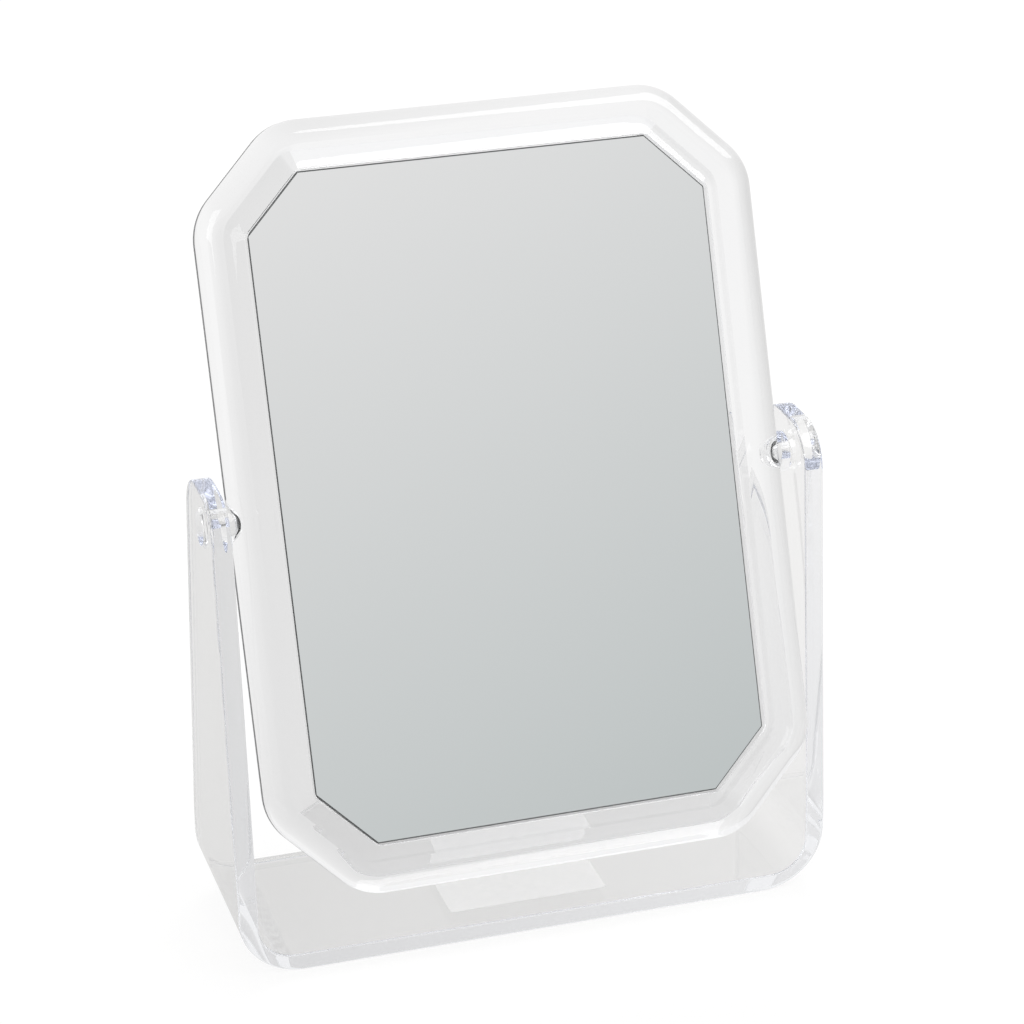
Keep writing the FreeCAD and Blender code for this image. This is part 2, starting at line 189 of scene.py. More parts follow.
class FrameSizes(bpy.types.PropertyGroup):
    """The clear eight-sided frame and the two plates in it."""

    tilt: angle("Tilt", "the mirror's lean to the back", 21.7)
    setback: length("Setback", "swivel axis behind the weld of the two halves", 0.001)
    half_width: length("Half width", "middle to the outline, across", 0.0773)
    half_height: length("Half height", "middle to the outline, along the mirror", 0.1034)
    chamfer: length("Chamfer", "cut corner of the outline, along each side", 0.0234)
    corner: length("Corner", "rounding of the outline's corners", 0.0165)
    crest: length("Crest", "crest above the weld", 0.0065)
    bead: length("Bead", "radius of the round edge", 0.0055)
    crest_inset: length("Crest inset", "outline to the start of the slope", 0.0066)
    slope_drop: length("Slope drop", "fall of the slope", 0.0018)
    slope_angle: angle("Slope angle", "between the slope and the mirror's normal", 74.0)
    band: length("Band", "outline to the plate's recess", 0.01335)
    ledge_width: length("Ledge width", "ledge that carries a plate", 0.003)
    ledge: length("Ledge", "thickness of a ledge", 0.0006)
    lip_radius: length("Lip radius", "rounding where the slope meets the recess", 0.0003)
    weld: length("Weld", "depth of the weld line round the edge", 0.00012)
    # The band at the weld is painted dark: a real seam, and painted shade for the frame's dark edge line.
    weld_shade_band: length("Weld band", "half of the dull band at the weld", 0.00098)
    socket: length("Socket", "radius of a ball's socket", 0.00578)
    pivot_reach: length("Pivot reach", "fine stretch of the outline about a socket", 0.009)
    clearance: length("Clearance", "a plate's edge to its recess", 0.0003)
    plate_back: length("Plate back", "front plate's back above the weld", 0.001)
    plate_thickness: length("Plate thickness", "front plate", 0.002)
    plate_bevel: length("Plate bevel", "ground edge of the plates", 0.0004)
    curve_radius: length("Curve radius", "hollow face of the rear plate", 1.5)
    curve_thickness: length("Curve thickness", "rear plate", 0.002)
    crown: length("Crown", "top of the rear plate's back above the weld", 0.0005)


class FinishColours(bpy.types.PropertyGroup):
    """Colours of the plastics, the mirrors and the small parts, and the film's edge."""

    stand_light: tint("Stand light", "clear stand, palest", (0.935, 0.934, 0.932))
    stand_dark: tint("Stand dark", "clear stand, deepest", (0.905, 0.904, 0.902))
    frame_light: tint("Frame light", "clear frame, palest", (0.95, 0.95, 0.952))
    frame_dark: tint("Frame dark", "clear frame, deepest", (0.92, 0.921, 0.925))
    edge_tint: tint("Edge tint", "colour of long ways through the plastic", (0.7, 0.745, 0.885))
    edge_density: amount("Edge density", "how fast that colour builds up, per metre", 2.8)
    # Painted shade: the weld's near-black stands in for the dark line that refraction gives along the frame's
    # edge, over a real seam.
    weld: tint("Weld", "weld of the frame's two halves", (0.04, 0.04, 0.044))
    silver: tint("Silver", "mirror plates", (0.885, 0.895, 0.895))
    backing: tint("Backing", "paint on the plates' backs and ground edges", (0.15, 0.155, 0.155))
    adhesive: tint("Adhesive", "tape and foam", (0.9, 0.9, 0.89))
    film: tint("Film", "bare label", (0.98, 0.98, 0.98))
    film_corner: length("Film corner", "rounding of the label's corners", 0.0008)
    film_bevel: length("Film bevel", "slope of the label's edge", 0.0001)
    film_lift: length("Film lift", "air under the label", 0.00002)


class StageSettings(bpy.types.PropertyGroup):
    """Camera, floor and light."""

    azimuth: angle("Azimuth", "camera to the left of the front", 16.67)
    elevation: angle("Elevation", "camera above the horizon", 26.35)
    roll: angle("Roll", "camera about its axis", -0.59)
    distance: length("Distance", "camera to its target", 0.90281)
    target: bpy.props.FloatVectorProperty(
        name="Target", description="point that the lens axis meets", default=(-0.01304, 0.0, 0.08703),
        subtype="TRANSLATION", unit="LENGTH")
    focal: pixels("Focal length", "in pixels of the picture", 3300.38)
    axis_across: pixels("Axis across", "lens axis in the picture, pixels from the left", 462.38)
    axis_down: pixels("Axis down", "lens axis in the picture, pixels from the top", 615.83)
    floor: tint("Floor", "pale floor", (0.9, 0.894, 0.884))
    # Painted shade: the floor that clear plastic and mirrors show is grey, darker on the left and lighter on
    # the right.
    floor_shade_left: tint("Sweep left", "floor as clear plastic shows it, left", (0.74, 0.737, 0.732))
    floor_shade_right: tint("Sweep right", "floor as clear plastic shows it, right", (0.94, 0.937, 0.932))
    surround: factor("Surround", "light of the room on matt surfaces", 0.75)
    # The grey card glows: its light and dark sides are painted light and shade for the mirror and the plastic
    # to reflect.
    card_light: tint("Card light", "grey card before the mirror, light side", (0.845, 0.838, 0.838))
    card_dark: tint("Card dark", "grey card before the mirror, dark side", (0.585, 0.617, 0.617))
    floor_gap: length("Floor gap", "air under the base plate", 0.0002)


class Value:
    """One output socket: arithmetic on it adds Math nodes to its tree."""

    def __init__(self, tree, socket):
        self.tree = tree
        self.socket = socket

    def math(self, operation, first, second):
        node = self.tree.nodes.new("ShaderNodeMath")
        node.operation = operation
        feed(self.tree, node.inputs[0], first)
        feed(self.tree, node.inputs[1], second)
        return Value(self.tree, node.outputs[0])

    def __add__(self, other):
        return self.math("ADD", self, other)

    def __radd__(self, other):
        return self.math("ADD", other, self)

    def __sub__(self, other):
        return self.math("SUBTRACT", self, other)

    def __rsub__(self, other):
        return self.math("SUBTRACT", other, self)

    def __mul__(self, other):
        return self.math("MULTIPLY", self, other)

    def __rmul__(self, other):
        return self.math("MULTIPLY", other, self)


def feed(tree, socket, item):
    """Links a socket to a value, or sets it to a number or a colour."""
    if isinstance(item, Value):
        tree.links.new(item.socket, socket)
    elif socket.type == "RGBA":
        socket.default_value = (*item[:3], 1)
    else:
        socket.default_value = item


class Nodes:
    """An emptied node tree, with one method for any node and a few for those that recur."""

    def __init__(self, tree):
        self.tree = tree
        tree.nodes.clear()

    def add(self, kind, settings, inputs, output=0):
        node = self.tree.nodes.new(kind)
        for name, setting in settings.items():
            setattr(node, name, setting)
        for name, item in inputs.items():
            feed(self.tree, node.inputs[name], item)
        return Value(self.tree, node.outputs[output]) if node.outputs else None

    def place(self):
        return self.add("ShaderNodeTexCoord", {}, {}, "Object")

    def noise(self, scale, detail):
        return self.add("ShaderNodeTexNoise", {}, {"Vector": self.place(), "Scale": scale, "Detail": detail})

    def blend(self, mask, first, second):
        return self.add("ShaderNodeMix", {"data_type": "RGBA"}, {0: mask, 6: first, 7: second}, 2)

    def bump(self, height, strength, distance):
        return self.add("ShaderNodeBump", {}, {"Strength": strength, "Distance": distance, "Height": height})

    def ray(self, kind):
        return self.add("ShaderNodeLightPath", {}, {}, kind)

    def seen(self):
        """1 for rays from the camera and for rays that a mirror or clear plastic sends on, else 0."""
        camera = self.ray("Is Camera Ray")
        passed_on = camera.math("MAXIMUM", self.ray("Is Glossy Ray"), self.ray("Is Transmission Ray"))
        return camera.math("MAXIMUM", camera, passed_on)

    def axis(self, name):
        return self.add("ShaderNodeSeparateXYZ", {}, {"Vector": self.place()}, name)

    def ramp(self, item, low, high):
        """0 at the low end of a stretch, 1 at its high end."""
        return self.add("ShaderNodeMapRange", {}, {"Value": item, "From Min": low, "From Max": high})


def shaded(colour, share):
    """A colour times a share."""
    return [part * share for part in colour]


def new_material(name):
    """A material with an emptied node tree."""
    material = bpy.data.materials.new(name)
    material.use_nodes = True
    return material, Nodes(material.node_tree)


def clear_plastic(name, light, dark, tone):
    """Polished clear plastic: faint flow marks in colour and surface, a tint that grows with the way through.

    Faces marked as the weld band are dark and dull: a real seam, painted dark as shade for the dark line
    along the frame's edge."""
    material, nodes = new_material(name)
    flow = nodes.noise(FLOW_SCALE, detail=1.0)
    haze = nodes.noise(HAZE_SCALE, detail=3.0)
    welded = nodes.add("ShaderNodeAttribute", {"attribute_name": WELD_SHADE}, {}, "Fac")
    surface = nodes.add("ShaderNodeBsdfPrincipled", {}, {
        # Painted shade: the weld band's dark colour stands in for the frame's dark refracted edge.
        "Base Color": nodes.blend(welded, nodes.blend(flow, light, dark), tone.weld),
        "Roughness": 0.002 + haze * 0.012 + welded * 0.3,
        "IOR": PLASTIC_IOR,
        "Transmission Weight": 1.0,
        "Normal": nodes.bump(flow, strength=0.03, distance=0.001),
    })
    volume = nodes.add("ShaderNodeVolumeAbsorption", {}, {
        "Color": tone.edge_tint, "Density": tone.edge_density})
    nodes.add("ShaderNodeOutputMaterial", {}, {"Surface": surface, "Volume": volume})
    return material


def silvered_glass(name, silver, backing):
    """A mirror with the faintest unevenness of tone and polish, its back and ground edge painted dark."""
    material, nodes = new_material(name)
    tone = nodes.noise(TONE_SCALE, detail=2.0)
    polish = nodes.noise(POLISH_SCALE, detail=2.0)
    coated = nodes.add("ShaderNodeAttribute", {"attribute_name": COATED}, {}, "Fac")
    mirror = nodes.blend(tone, silver, shaded(silver, 0.985))
    paint = nodes.blend(polish, backing, shaded(backing, 1.4))
    surface = nodes.add("ShaderNodeBsdfPrincipled", {}, {
        "Base Color": nodes.blend(coated, paint, mirror),
        "Metallic": coated,
        "Roughness": (1 - coated) * 0.4 + 0.004 + polish * 0.008,
    })
    nodes.add("ShaderNodeOutputMaterial", {}, {"Surface": surface})
    return material


def foam(name, white):
    """White foam and film: small closed cells."""
    material, nodes = new_material(name)
    cells = nodes.add("ShaderNodeTexVoronoi", {}, {"Vector": nodes.place(), "Scale": CELL_SCALE}, "Distance")
    surface = nodes.add("ShaderNodeBsdfPrincipled", {}, {
        "Base Color": nodes.blend(cells, white, shaded(white, 0.93)),
        "Roughness": 0.75 + cells * 0.2,
        "Normal": nodes.bump(cells, strength=0.25, distance=0.0002),
    })
    nodes.add("ShaderNodeOutputMaterial", {}, {"Surface": surface})
    return material


def label_film(name, white):
    """A bare white film, half see-through, with the faint mottle of its adhesive."""
    material, nodes = new_material(name)
    mottle = nodes.noise(MOTTLE_SCALE, detail=3.0)
    surface = nodes.add("ShaderNodeBsdfPrincipled", {}, {
        "Base Color": nodes.blend(mottle, white, shaded(white, 0.96)),
        "Roughness": 0.35 + mottle * 0.2,
        "Alpha": 0.2 + mottle * 0.08,
    })
    nodes.add("ShaderNodeOutputMaterial", {}, {"Surface": surface})
    return material


def arc(centre, radius, first, last, count):
    """Points centre + radius (cos a, sin a) with a from first to last."""
    turn = np.linspace(first, last, count)
    return np.stack((centre[0] + radius * np.cos(turn), centre[1] + radius * np.sin(turn)), -1)


def quads(grid, wrap_rows=False, wrap_columns=False):
    """Points and four-cornered faces of a grid (rows, columns, 3), joined end to end where it wraps."""
    index = np.arange(grid.shape[0] * grid.shape[1]).reshape(grid.shape[:2])
    if wrap_rows:
        index = np.concatenate((index, index[:1]))
    if wrap_columns:
        index = np.concatenate((index, index[:, :1]), 1)
    corners = (index[:-1, :-1], index[1:, :-1], index[1:, 1:], index[:-1, 1:])
    return grid.reshape(-1, 3), np.stack(corners, -1).reshape(-1, 4)


def closed_skin(grid, wrap_rows, wrap_columns):
    """A closed grid turned to face outwards.

    The enclosed volume is the sum of a . (b x c) / 6 over all triangles, and its sign tells the turn."""
    points, faces = quads(grid, wrap_rows, wrap_columns)
    a, b, c, d = (points[faces[:, k]] for k in range(4))
    volume = np.einsum("ij,ij->", a, np.cross(b, c)) + np.einsum("ij,ij->", a, np.cross(c, d))
    if volume < 0:
        faces = faces[:, ::-1]
    return points, faces


def make_object(name, skins, material, recalculate=False):
    """One mesh of several skins, their common points merged, smooth but for its sharp edges."""
    starts = np.cumsum([0] + [len(points) for points, _ in skins])
    points = np.concatenate([points for points, _ in skins])
    faces = np.concatenate([faces + start for (_, faces), start in zip(skins, starts)])
    mesh = bpy.data.meshes.new(name)
    mesh.from_pydata(points, [], faces.tolist())
    work = bmesh.new()
    work.from_mesh(mesh)
    bmesh.ops.remove_doubles(work, verts=work.verts, dist=MERGE_DISTANCE)
    if recalculate:
        bmesh.ops.recalc_face_normals(work, faces=work.faces)
    work.to_mesh(mesh)
    work.free()
    mesh.shade_smooth()
    mesh.set_sharp_from_angle(angle=SHARP_EDGE)
    mesh.materials.append(material)
    piece = bpy.data.objects.new(name, mesh)
    bpy.context.collection.objects.link(piece)
    return piece


def dress(piece, body, slot, *nodes):
    """A piece rides on a body and stands for CAD nodes, which it hides. The slot is not used."""
    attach(piece, body)
    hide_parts(*nodes)


def taper_fall(stand):
    """How fast an arm narrows on each side: depth per height."""
    return (stand.half_depth - stand.head_half_width) / (AXIS_HEIGHT - stand.taper_start)


def strip_half(stand):
    """The right half of the U strip from the middle of the base to the foot of the head.

    Quarter circles join base and arm, and an arc eases the start of the taper. Each sample has its outer and
    inner point (x, z), the half depth of the strip there, less the rim's rounding, and the rim's outward
    direction (y, z)."""
    rim = stand.rim_radius
    fall = taper_fall(stand)
    lean = math.atan(fall)
    low = stand.taper_start - stand.taper_radius * math.tan(lean / 2)
    arm_face = stand.half_width - stand.arm_wall
    outer_turn = (stand.half_width - stand.outer_bend, stand.outer_bend)
    inner_turn = (arm_face - stand.inner_bend, stand.base_wall + stand.inner_bend)
    share = np.linspace(0, 1, BASE_SAMPLES)[:-1]
    base_outer = np.stack((share * outer_turn[0], share * 0), -1)
    base_inner = np.stack((share * inner_turn[0], share * 0 + stand.base_wall), -1)
    bend_outer = arc(outer_turn, stand.outer_bend, -math.pi / 2, 0, BEND_SAMPLES)
    bend_inner = arc(inner_turn, stand.inner_bend, -math.pi / 2, 0, BEND_SAMPLES)
    turn = np.linspace(0, lean, EASE_SAMPLES)
    ease_height = low + (stand.taper_radius - rim) * np.sin(turn)
    ease_half = stand.half_depth - stand.taper_radius + (stand.taper_radius - rim) * np.cos(turn)
    taper_height = np.linspace(ease_height[-1], stand.head_foot, TAPER_SAMPLES)[1:]
    taper_half = ease_half[-1] - (taper_height - ease_height[-1]) * fall
    height = np.concatenate((ease_height, taper_height))
    outer = np.concatenate((base_outer, bend_outer, np.stack((height * 0 + stand.half_width, height), -1)))
    inner = np.concatenate((base_inner, bend_inner, np.stack((height * 0 + arm_face, height), -1)))
    upright = len(share) + len(bend_outer)
    half = np.concatenate((np.full(upright, stand.half_depth - rim), ease_half, taper_half))
    facing = np.concatenate((np.zeros(upright), turn, np.full(len(taper_height), lean)))
    return outer, inner, half, np.stack((np.cos(facing), np.sin(facing)), -1)


def head_edge(stand, foot_half):
    """Half of a head's edge from its foot to the top: points and outward directions (y, z).

    A straight taper, an arc of the head's radius and a flat top, less the rim's rounding."""
    rim = stand.rim_radius
    fall = taper_fall(stand)
    lean = math.atan(fall)
    radius = stand.head_radius
    centre_height = stand.top - radius
    line_at_centre = foot_half - (centre_height - stand.head_foot) * fall
    centre = (line_at_centre - (radius - rim) / math.cos(lean), centre_height)
    corner = arc(centre, radius - rim, lean, math.pi / 2, HEAD_SAMPLES)
    taper_share = np.linspace(0, 1, HEAD_SAMPLES)[1:-1, None]
    foot = np.array((foot_half, stand.head_foot))
    taper = foot + taper_share * (corner[0] - foot)
    flat_share = np.linspace(0, 1, TOP_SAMPLES)[1:-1]
    flat = np.stack((corner[-1, 0] * (1 - flat_share), flat_share * 0 + corner[-1, 1]), -1)
    points = np.concatenate((taper, corner, flat, [(0, corner[-1, 1])]))
    facing = np.concatenate((
        np.full(len(taper), lean), np.linspace(lean, math.pi / 2, len(corner)),
        np.full(len(flat) + 1, math.pi / 2)))
    return points, np.stack((np.cos(facing), np.sin(facing)), -1)


def stand_skins(stand):
    """The U strip: two faces ruled from edge to edge, a rounded rim, and ring grids at the heads.

    A ring grid runs from a hole H to the border B as H + t (B - H). The half sections (x, r) of the outer
    well and of the inner ball are carried round the axis. The rim is I + d (O - I) + b N, from the inner
    edge I to the outer edge O, with the rounding's bulge b along the outward N."""
    outer, inner, half, facing = strip_half(stand)
    across = np.linspace(-1, 1, DEPTH_SAMPLES)
    skins = []
    mirror = np.array((-1, 1))
    for path in (outer, inner):
        whole = np.concatenate(((path * mirror)[:0:-1], path))
        reach = np.concatenate((half[:0:-1], half))
        shape = (len(whole), len(across))
        grid = np.stack((
            np.broadcast_to(whole[:, :1], shape),
            reach[:, None] * across,
            np.broadcast_to(whole[:, 1:], shape)), -1)
        skins.append(quads(grid))

    edge, edge_facing = head_edge(stand, half[-1])
    over = np.concatenate((edge, (edge * mirror)[-2::-1]))
    over_facing = np.concatenate((edge_facing, (edge_facing * mirror)[-2::-1]))
    foot = np.stack((across * half[-1], across * 0 + stand.head_foot), -1)
    border = np.concatenate((over, foot))
    axis = np.array((0, AXIS_HEIGHT))
    ray = border - axis
    ray /= np.linalg.norm(ray, axis=1, keepdims=True)
    step = stand.half_width - stand.counterbore_depth
    arm_face = stand.half_width - stand.arm_wall
    core_end = arm_face - stand.core_reach
    well = np.array((
        (stand.half_width, stand.counterbore_radius), (step, stand.counterbore_radius),
        (step, stand.core_radius), (core_end, stand.core_radius), (core_end, 0)))
    seat_turn = math.acos(-stand.ball_to_arm / stand.ball_radius)
    ball = arc((0, 0), stand.ball_radius, seat_turn, 0, BALL_SAMPLES)
    cap = np.stack((arm_face - stand.ball_to_arm - ball[:, 0], ball[:, 1]), -1)
    share = np.linspace(0, 1, RING_SAMPLES)[:, None, None]
    for side in (1, -1):
        for turned in (well, cap):
            hole = axis + turned[0, 1] * ray
            ring = hole + share * (border - hole)
            ring_x = np.full(ring.shape[:2] + (1,), side * turned[0, 0])
            skins.append(quads(np.concatenate((ring_x, ring), -1), False, True))
            wall = axis + turned[:, 1, None, None] * ray
            wall_x = np.broadcast_to(side * turned[:, 0, None, None], wall.shape[:2] + (1,))
            skins.append(quads(np.concatenate((wall_x, wall), -1), False, True))

    def loop(middle, top):
        """Rim samples in order: right half, over its head, back, left half, over its head, back."""
        front, rear = middle
        right_top, left_top = top
        return np.concatenate((
            rear[0], right_top, front[0][::-1], front[1][1:], left_top[::-1], rear[1][:0:-1]))

    def full(x_z, y):
        """Points (x, z) with their y."""
        return np.stack((x_z[:, 0], y, x_z[:, 1]), -1)

    heads = {}
    for side in (1, -1):
        for name, x in (("outer", stand.half_width), ("inner", arm_face)):
            heads[name, side] = np.concatenate((np.full((len(over), 1), side * x), over), -1)
    rings = []
    for name, path in (("outer", outer), ("inner", inner)):
        rings.append(loop(
            ((full(path, -half), full(path * mirror, -half)), (full(path, half), full(path * mirror, half))),
            (heads[name, 1], heads[name, -1])))
    no_x = np.zeros((len(facing), 1))
    to_rear = np.concatenate((no_x, facing), -1)
    to_front = to_rear * (1, -1, 1)
    over_out = np.concatenate((np.zeros((len(over), 1)), over_facing), -1)
    outward = loop(((to_front, to_front), (to_rear, to_rear)), (over_out, over_out))
    turn = np.linspace(0, math.pi / 2, RIM_SAMPLES)
    rim = stand.rim_radius
    bulge = np.concatenate((rim * np.sin(turn), rim * np.sin(turn[::-1])))
    depth = rim * (1 - np.cos(turn))
    thickness = np.linalg.norm(rings[0] - rings[1], axis=1)
    down = np.concatenate((
        depth[:, None] / thickness, 1 - depth[::-1, None] / thickness))[:, :, None]
    skins.append(quads(
        rings[1] + down * (rings[0] - rings[1]) + bulge[:, None, None] * outward, False, True))
    return skins


def octagon(half_width, half_height, chamfer):
    """Corners of a rectangle with cut corners, counter-clockwise from the right."""
    right, top = half_width - chamfer, half_height - chamfer
    return np.array((
        (half_width, top), (right, half_height), (-right, half_height), (-half_width, top),
        (-half_width, -top), (-right, -half_height), (right, -half_height), (half_width, -top)))


def rounded_outline(sizes):
    """The frame's outline: straight sides and corner arcs, as points and inward directions.

    The two sides at the pivots have closer points about their middle."""
    corners = octagon(sizes.half_width, sizes.half_height, sizes.chamfer)
    side = np.roll(corners, -1, 0) - corners
    span = np.linalg.norm(side, axis=1)
    along = side / span[:, None]
    outward = np.stack((along[:, 1], -along[:, 0]), -1)
    tangent = sizes.corner * math.tan(math.pi / SIDES)
    reach = sizes.pivot_reach
    points, inward = [], []
    for k in range(SIDES):
        centre = corners[k] - along[k - 1] * tangent - outward[k - 1] * sizes.corner
        start = math.atan2(outward[k - 1, 1], outward[k - 1, 0])
        ring = arc((0, 0), 1, start, start + 2 * math.pi / SIDES, CORNER_SAMPLES)
        points.append(centre + sizes.corner * ring)
        inward.append(-ring)
        half = span[k] / 2 - tangent
        if k in PIVOT_SIDES:
            place = np.concatenate((
                np.linspace(-half, -reach, BESIDE_PIVOT_SAMPLES)[1:-1],
                np.linspace(-reach, reach, PIVOT_SAMPLES),
                np.linspace(reach, half, BESIDE_PIVOT_SAMPLES)[1:-1]))
        else:
            place = np.linspace(-half, half, SIDE_SAMPLES)[1:-1]
        points.append(corners[k] + along[k] * (span[k] / 2 + place)[:, None])
        inward.append(np.broadcast_to(-outward[k], (len(place), 2)))
    return np.concatenate(points), np.concatenate(inward)


def frame_section(sizes):
    """The two welded halves as a closed loop (inset, height): bead, crest, slope, recess and ledge."""
    slope_end = sizes.crest_inset + sizes.slope_drop * math.tan(sizes.slope_angle)
    low = sizes.crest - sizes.slope_drop
    lip = sizes.lip_radius
    base = sizes.crest - sizes.bead
    bead = arc((sizes.bead, base), sizes.bead, math.pi, math.pi / 2, BEAD_SAMPLES)
    lip_round = arc((sizes.band - lip, low - lip), lip, math.pi / 2, 0, LIP_SAMPLES)
    opening = sizes.band + sizes.ledge_width
    front = np.concatenate((
        ((sizes.weld, 0), (0, sizes.weld), (0, sizes.weld_shade_band)), bead,
        ((sizes.crest_inset, sizes.crest), (slope_end, low)), lip_round,
        ((sizes.band, sizes.ledge), (opening, sizes.ledge)),
    ))
    return np.concatenate((front, front[:0:-1] * (1, -1)))


def lean_back(sizes, across, along, out):
    """Mirror coordinates to the part's frame: axis + across X + along V + (out + setback) N."""
    rise, fall = math.cos(sizes.tilt), math.sin(sizes.tilt)
    out = out + sizes.setback
    return np.stack((across, along * fall - out * rise, AXIS_HEIGHT + along * rise + out * fall), -1)


def ball_offset():
    """Middle of the part to a ball's centre, across."""
    stand = stand_settings()
    return stand.half_width - stand.arm_wall - stand.ball_to_arm


def mark_weld_shade(sizes, piece, grid):
    """The dull band at the weld, painted dark as a real seam and as painted shade for the frame's dark edge
    line, gets 1 in the attribute that the plastic reads, but not in the sockets.
    """
    level = np.zeros(grid.shape[:2], np.float32)
    level[:, WELD_SHADE_COLUMNS] = 1
    for side in (1, -1):
        away = np.linalg.norm(grid - np.array((side * ball_offset(), 0, AXIS_HEIGHT)), axis=-1)
        level[away < sizes.socket + sizes.weld_shade_band] = 0
    piece.data.attributes.new(WELD_SHADE, "FLOAT", "FACE").data.foreach_set("value", level.ravel())


def carried(sizes, section):
    """A section carried round the outline: O(t) + s N(t) with height n, pressed out of the two ball sockets.

    A point inside a socket moves along the line from its centre onto the socket's wall."""
    outline, inward = rounded_outline(sizes)
    flat = outline[:, None] + section[:, 0, None] * inward[:, None]
    height = np.broadcast_to(section[:, 1], flat.shape[:2])
    points = np.concatenate((flat, height[..., None]), -1)
    for side in (1, -1):
        centre = np.array((side * ball_offset(), 0, -sizes.setback))
        way = points - centre
        distance = np.linalg.norm(way, axis=-1, keepdims=True)
        points = np.where(distance < sizes.socket, centre + way * sizes.socket / distance, points)
    return lean_back(sizes, points[..., 0], points[..., 1], points[..., 2])


def plate_loop(sizes, inset):
    """The sharp-cornered outline of a plate, moved inwards by the inset."""
    inset = inset + sizes.band + sizes.clearance
    corners = octagon(
        sizes.half_width - inset, sizes.half_height - inset, sizes.chamfer - inset * CHAMFER_OFFSET_SHARE)
    share = (np.arange(PLATE_SIDE_SAMPLES) / PLATE_SIDE_SAMPLES)[None, :, None]
    return (corners[:, None] + share * (np.roll(corners, -1, 0) - corners)[:, None]).reshape(-1, 2)


def plate_skin(sizes, face, back):
    """A plate between two surfaces n(r): rings from the middle of the face to its ground edge and back."""
    share = np.linspace(0, 1, PLATE_RING_SAMPLES)[:, None, None]
    rim = plate_loop(sizes, 0)
    ground = plate_loop(sizes, sizes.plate_bevel)
    front = share * ground
    rear = share[::-1] * rim
    front_height = face(front)
    rear_height = back(rear)
    toward_back = np.sign(rear_height[0] - front_height[-1])
    edge = front_height[-1] + toward_back * sizes.plate_bevel
    flat = np.concatenate((front, rim[None], rear))
    height = np.concatenate((front_height, edge[None], rear_height))
    return closed_skin(lean_back(sizes, flat[..., 0], flat[..., 1], height), False, True)


def film_skin(low, high, corner, bevel, lift):
    """A thin film: the loop of a rounded rectangle, shrunk to its middle below and, past a bevel, above.

    The loop is (half - corner) sign(u) + (corner - inset) u, with u = (cos a, sin a)."""
    middle, half = (low + high) / 2, (high - low) / 2
    turn = (np.arange(FILM_EDGE_SAMPLES) + 0.5) * 2 * math.pi / FILM_EDGE_SAMPLES

    def loop(inset):
        way = np.stack((np.cos(turn), np.sin(turn)), -1)
        return (half[:2] - corner) * np.sign(way) + (corner - inset) * way

    share = np.linspace(0, 1, FILM_RING_SAMPLES)[:, None, None]
    flat = np.concatenate((share * loop(0), share[::-1] * loop(bevel)))
    height = np.repeat((low[2] + lift, high[2]), len(share))[:, None, None]
    grid = np.concatenate((middle[:2] + flat, np.broadcast_to(height, flat.shape[:2] + (1,))), -1)
    return closed_skin(grid, False, True)


def stand_settings():
    return bpy.context.scene.mirror_stand


def frame_settings():
    return bpy.context.scene.mirror_frame


def colours():
    return bpy.context.scene.mirror_colours


class MIRROR_OT_clear_stand(bpy.types.Operator):
    """Builds the clear U stand with its two ball studs"""

    bl_idname = "makeup_mirror.clear_stand"
    bl_label = "Clear stand and studs"

    def execute(self, context):
        stand, tone = stand_settings(), colours()
        plastic = clear_plastic("clear_stand", tone.stand_light, tone.stand_dark, tone)
        piece = make_object("clear_stand", stand_skins(stand), plastic, recalculate=True)
        dress(piece, "stand", "clear_stand", "stand", "left_ball_stud", "right_ball_stud")
        return {"FINISHED"}


class MIRROR_OT_clear_frame(bpy.types.Operator):
    """Builds the clear frame of two welded halves"""

    bl_idname = "makeup_mirror.clear_frame"
    bl_label = "Clear frame"

    def execute(self, context):
        sizes, tone = frame_settings(), colours()
        plastic = clear_plastic("clear_frame", tone.frame_light, tone.frame_dark, tone)
        grid = carried(sizes, frame_section(sizes))
        piece = make_object("clear_frame", [closed_skin(grid, True, True)], plastic)
        mark_weld_shade(sizes, piece, grid)
        dress(piece, "mirror", "clear_frame", "front_bezel", "rear_bezel")
        return {"FINISHED"}


def mark_coated(sizes, piece, side):
    """A plate's face gets 1 in the attribute that the mirror finish reads, its edge and back get 0.

    The face is where the normal lies along the mirror's own normal."""
    normals = np.empty(len(piece.data.polygons) * 3)
    piece.data.polygons.foreach_get("normal", normals)
    out = side * np.array((0, -math.cos(sizes.tilt), math.sin(sizes.tilt)))
    level = (normals.reshape(-1, 3) @ out > FACE_LEVEL).astype(np.float32)
    piece.data.attributes.new(COATED, "FLOAT", "FACE").data.foreach_set("value", level)


class MIRROR_OT_plates(bpy.types.Operator):
    """Builds the flat front plate and the hollow-ground rear plate"""

    bl_idname = "makeup_mirror.plates"
    bl_label = "Mirror plates"

    def execute(self, context):
        sizes = frame_settings()
        silver = silvered_glass("mirror_plate", colours().silver, colours().backing)

        def level(height):
            """A flat surface."""
            return lambda flat: np.full(flat.shape[:-1], height)

        def curved(radius):
            """The height m + sqrt(R^2 - r^2) of a ball with its centre behind the mirror."""
            middle = sizes.crown - sizes.curve_radius - sizes.curve_thickness
            return lambda flat: middle + np.sqrt(radius ** 2 - (flat ** 2).sum(-1))

        front = plate_skin(sizes, level(sizes.plate_back + sizes.plate_thickness), level(sizes.plate_back))
        piece = make_object("front_plate", [front], silver)
        mark_coated(sizes, piece, 1)
        dress(piece, "mirror", "mirror_plate", "front_mirror_plate")
        rear = plate_skin(
            sizes, curved(sizes.curve_radius), curved(sizes.curve_radius + sizes.curve_thickness))
        piece = make_object("rear_plate", [rear], silver)
        mark_coated(sizes, piece, -1)
        dress(piece, "mirror", "mirror_plate", "rear_magnifying_plate")
        return {"FINISHED"}


